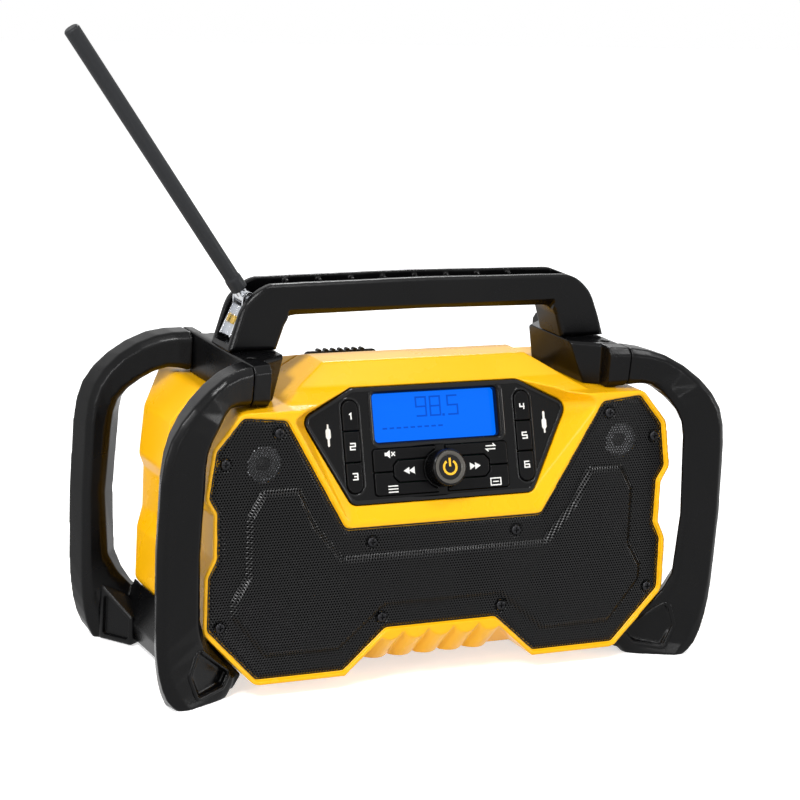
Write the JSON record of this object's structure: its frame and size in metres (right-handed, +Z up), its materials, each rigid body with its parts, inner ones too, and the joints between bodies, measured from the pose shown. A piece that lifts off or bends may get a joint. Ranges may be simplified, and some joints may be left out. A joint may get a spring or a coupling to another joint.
{
  "type": "jobsite radio",
  "caption": "Two-speaker jobsite radio with a leaning control panel, black roll cage, carry handle, fold-down aerial and a battery door at the back.",
  "frame": {"origin": "middle of the whole part's base: half way across with the aerial raised to the left, on the plane the four feet stand on", "axes": "+X to the right seen from the front, +Y to the back, +Z up"},
  "size_m": [0.4632, 0.1752, 0.4295],
  "materials": {
    "yellow_shell": "satin amber yellow moulded plastic",
    "black_plastic": "satin black moulded plastic",
    "key_rubber": "soft matt black keys",
    "knob_plastic": "black knob with a grey ring",
    "grille_metal": "black painted perforated steel sheet",
    "grey_plastic": "dark grey moulded plastic",
    "aerial_jacket": "dark grey flexible jacket",
    "bright_steel": "plated steel",
    "brass": "bright brass",
    "blue_display": "clear lens over a blue back light",
    "circuit_board": "green lacquered board",
    "speaker_paper": "dark pressed cone",
    "speaker_steel": "pressed steel basket"
  },
  "bodies": {
    "radio": {"front_housing": "yellow_shell", "rear_housing": "yellow_shell", "speaker_grille": "grille_metal", "woofer_frame_left": "speaker_steel", "woofer_frame_right": "speaker_steel", "woofer_cone_left": "speaker_paper", "woofer_cone_right": "speaker_paper", "tweeter_left": "grey_plastic", "tweeter_right": "grey_plastic", "control_bezel": "black_plastic", "display_lens": "blue_display", "display_module": "grey_plastic", "control_board": "circuit_board", "encoder_body": "grey_plastic", "main_board": "circuit_board", "power_inlet": "grey_plastic", "battery_terminal": "grey_plastic", "left_cage": "black_plastic", "right_cage": "black_plastic", "left_shoulder": "black_plastic", "right_shoulder": "black_plastic", "carry_handle": "black_plastic", "aerial_bracket": "bright_steel", "bracket_screw": "brass", "aerial_pin": "bright_steel", "door_hinge_pin": "bright_steel"},
    "aerial": {"aerial_knuckle": "bright_steel", "aerial_mast": "aerial_jacket"},
    "plunger": {"encoder_plunger": "bright_steel"},
    "knob": {"control_knob": "knob_plastic", "encoder_shaft": "bright_steel"},
    "door": {"battery_door": "black_plastic"},
    "latch": {"door_latch": "black_plastic"},
    "preset_button_1_key": {"preset_button_1": "key_rubber"},
    "preset_button_2_key": {"preset_button_2": "key_rubber"},
    "preset_button_3_key": {"preset_button_3": "key_rubber"},
    "preset_button_4_key": {"preset_button_4": "key_rubber"},
    "preset_button_5_key": {"preset_button_5": "key_rubber"},
    "preset_button_6_key": {"preset_button_6": "key_rubber"},
    "upper_left_button_key": {"upper_left_button": "key_rubber"},
    "lower_left_button_key": {"lower_left_button": "key_rubber"},
    "upper_right_button_key": {"upper_right_button": "key_rubber"},
    "lower_right_button_key": {"lower_right_button": "key_rubber"},
    "seek_back_button_key": {"seek_back_button": "key_rubber"},
    "seek_forward_button_key": {"seek_forward_button": "key_rubber"}
  },
  "joints": [
    {"name": "aerial_fold", "type": "hinge", "parent": "radio", "child": "aerial", "pos_m": [-0.10372, -0.0077, 0.2535], "axis": [0, 1, 0], "range_deg": [-45, 125.6]},
    {"name": "knob_push", "type": "slide", "parent": "radio", "child": "plunger", "axis": [0, 0.9505, -0.3107], "range_m": [0, 0.0008], "stiffness_N_per_m": 800, "springref_m": -0.001},
    {"name": "knob_turn", "type": "hinge", "parent": "plunger", "child": "knob", "pos_m": [0.02138, -0.06754, 0.14519], "axis": [0, -0.9505, 0.3107], "continuous": true},
    {"name": "door_open", "type": "hinge", "parent": "radio", "child": "door", "pos_m": [0.00938, 0.079, 0.0505], "axis": [-1, 0, 0], "range_deg": [0, 105]},
    {"name": "latch_slide", "type": "slide", "parent": "door", "child": "latch", "axis": [0, 0, -1], "range_m": [0, 0.004], "stiffness_N_per_m": 500, "springref_m": -0.002},
    {"name": "preset_button_1_press", "type": "slide", "parent": "radio", "child": "preset_button_1_key", "axis": [0, 0.9505, -0.3107], "range_m": [0, 0.0008], "stiffness_N_per_m": 400, "springref_m": -0.001},
    {"name": "preset_button_2_press", "type": "slide", "parent": "radio", "child": "preset_button_2_key", "axis": [0, 0.9505, -0.3107], "range_m": [0, 0.0008], "stiffness_N_per_m": 400, "springref_m": -0.001},
    {"name": "preset_button_3_press", "type": "slide", "parent": "radio", "child": "preset_button_3_key", "axis": [0, 0.9505, -0.3107], "range_m": [0, 0.0008], "stiffness_N_per_m": 400, "springref_m": -0.001},
    {"name": "preset_button_4_press", "type": "slide", "parent": "radio", "child": "preset_button_4_key", "axis": [0, 0.9505, -0.3107], "range_m": [0, 0.0008], "stiffness_N_per_m": 400, "springref_m": -0.001},
    {"name": "preset_button_5_press", "type": "slide", "parent": "radio", "child": "preset_button_5_key", "axis": [0, 0.9505, -0.3107], "range_m": [0, 0.0008], "stiffness_N_per_m": 400, "springref_m": -0.001},
    {"name": "preset_button_6_press", "type": "slide", "parent": "radio", "child": "preset_button_6_key", "axis": [0, 0.9505, -0.3107], "range_m": [0, 0.0008], "stiffness_N_per_m": 400, "springref_m": -0.001},
    {"name": "upper_left_button_press", "type": "slide", "parent": "radio", "child": "upper_left_button_key", "axis": [0, 0.9505, -0.3107], "range_m": [0, 0.0008], "stiffness_N_per_m": 400, "springref_m": -0.001},
    {"name": "lower_left_button_press", "type": "slide", "parent": "radio", "child": "lower_left_button_key", "axis": [0, 0.9505, -0.3107], "range_m": [0, 0.0008], "stiffness_N_per_m": 400, "springref_m": -0.001},
    {"name": "upper_right_button_press", "type": "slide", "parent": "radio", "child": "upper_right_button_key", "axis": [0, 0.9505, -0.3107], "range_m": [0, 0.0008], "stiffness_N_per_m": 400, "springref_m": -0.001},
    {"name": "lower_right_button_press", "type": "slide", "parent": "radio", "child": "lower_right_button_key", "axis": [0, 0.9505, -0.3107], "range_m": [0, 0.0008], "stiffness_N_per_m": 400, "springref_m": -0.001},
    {"name": "seek_back_button_press", "type": "slide", "parent": "radio", "child": "seek_back_button_key", "axis": [0, 0.9505, -0.3107], "range_m": [0, 0.0008], "stiffness_N_per_m": 400, "springref_m": -0.001},
    {"name": "seek_forward_button_press", "type": "slide", "parent": "radio", "child": "seek_forward_button_key", "axis": [0, 0.9505, -0.3107], "range_m": [0, 0.0008], "stiffness_N_per_m": 400, "springref_m": -0.001}
  ]
}
